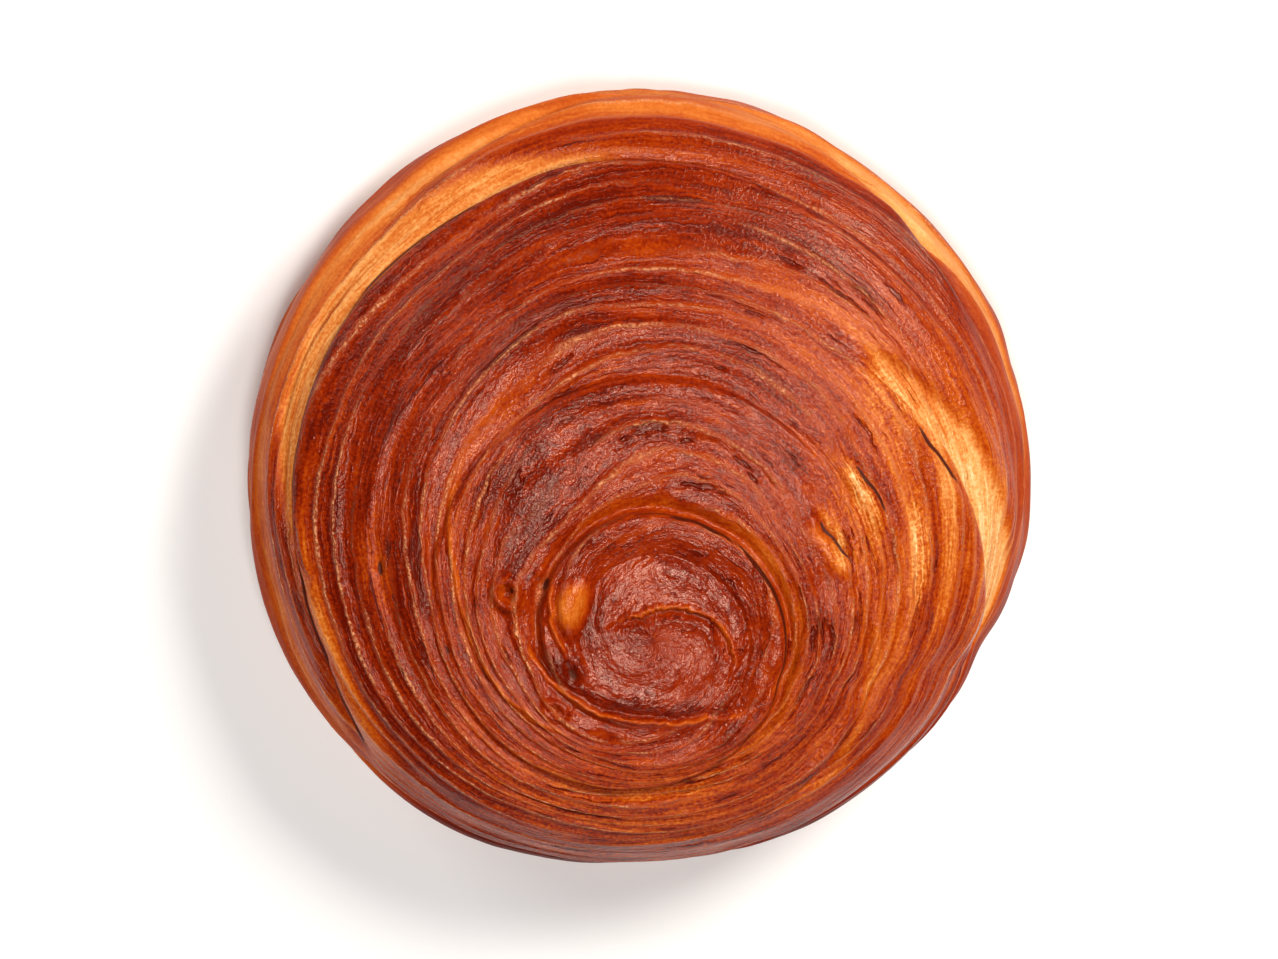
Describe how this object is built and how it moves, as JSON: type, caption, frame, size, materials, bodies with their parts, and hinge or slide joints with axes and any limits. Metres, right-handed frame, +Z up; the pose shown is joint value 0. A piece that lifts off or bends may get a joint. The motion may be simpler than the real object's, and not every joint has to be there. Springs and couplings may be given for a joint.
{
  "type": "puff pastry bun",
  "caption": "Round flat bun of laminated dough coiled into a spiral, with a glazed domed face, a crack round its raised heart, flaky sides and a flat base.",
  "frame": {"origin": "middle of the flat base, on the surface that the bun rests on", "axes": "+Z up through the glazed face; the heart of the coil lies towards -Y, which is the bottom of the picture; +X is the picture's right"},
  "size_m": [0.1154, 0.1138, 0.0392],
  "materials": {
    "crust": "egg-washed baked crust: deep red-brown and satin on the face, paler gold between the layers and on the sides, matt under the base"
  },
  "bodies": {
    "root": {"bun": "crust"}
  },
  "joints": []
}
